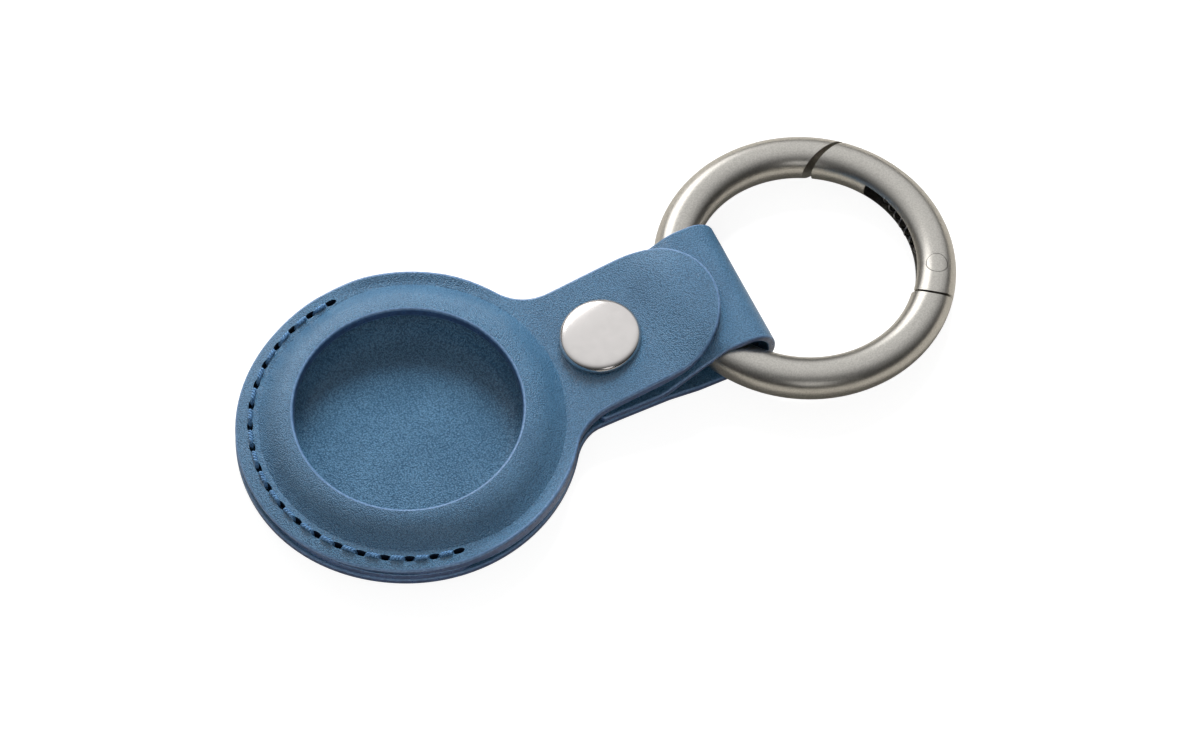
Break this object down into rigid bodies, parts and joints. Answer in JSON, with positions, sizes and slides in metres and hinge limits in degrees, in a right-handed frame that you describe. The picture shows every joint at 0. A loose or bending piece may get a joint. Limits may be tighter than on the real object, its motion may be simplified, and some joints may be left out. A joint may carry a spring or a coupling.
{
  "type": "tracker tag holder",
  "caption": "Round leather holder for a coin-shaped tracker tag, with a moulded window bezel, a snap flap over a strap loop and a round spring-gate ring.",
  "frame": {"origin": "middle of the dished back floor that the case lies on", "axes": "+X along the strap towards the ring, +Z out of the window side"},
  "size_m": [0.0937, 0.042, 0.0091],
  "materials": {
    "front_leather": "smooth blue calf leather, fine pebble grain",
    "back_leather": "smooth blue leather, painted edge",
    "lining_leather": "grained blue leather",
    "seam_thread": "dark blue polyester thread",
    "polished_nickel": "polished nickel",
    "snap_metal": "nickel-plated stamping",
    "satin_nickel": "satin dark nickel plate",
    "spring_steel": "drawn spring wire"
  },
  "bodies": {
    "case": {"front_panel": "front_leather", "back_panel": "back_leather", "pocket_lining": "lining_leather", "strap_end": "back_leather", "strap_loop": "back_leather", "seam_top_thread": "seam_thread", "seam_bobbin_thread": "seam_thread", "snap_stud": "snap_metal", "snap_post": "snap_metal"},
    "flap": {"front_flap": "front_leather", "snap_cap": "polished_nickel", "snap_socket": "snap_metal", "snap_spring": "spring_steel"},
    "ring": {"ring_body": "satin_nickel"},
    "gate": {"ring_gate": "satin_nickel", "gate_spring": "spring_steel", "gate_pin": "satin_nickel"},
    "plunger": {"spring_plunger": "spring_steel"}
  },
  "joints": [
    {"name": "flap_open", "type": "hinge", "parent": "case", "child": "flap", "pos_m": [0.0199, 0, 0.0054], "axis": [0, -1, 0], "range_deg": [0, 65], "deforming": ["snap_spring"]},
    {"name": "ring_swing", "type": "hinge", "parent": "case", "child": "ring", "pos_m": [0.0391, 0, 0.0037], "axis": [0, -1, 0], "range_deg": [0, 70], "deforming": ["strap_loop"]},
    {"name": "gate_open", "type": "hinge", "parent": "ring", "child": "gate", "pos_m": [0.06825, -0.00753, 0.00267], "axis": [0.0374, 0, 0.9993], "range_deg": [0, 35], "stiffness_Nm_per_rad": 0.02, "springref_deg": -11.46},
    {"name": "plunger_slide", "type": "slide", "parent": "gate", "child": "plunger", "axis": [-0.0075, 1, 0.0003], "range_m": [0, 0.0006], "deforming": ["gate_spring"]}
  ],
  "couplings": [
    {"joint": "plunger_slide", "follows": "gate_open", "m_per_rad": 0.00095}
  ]
}
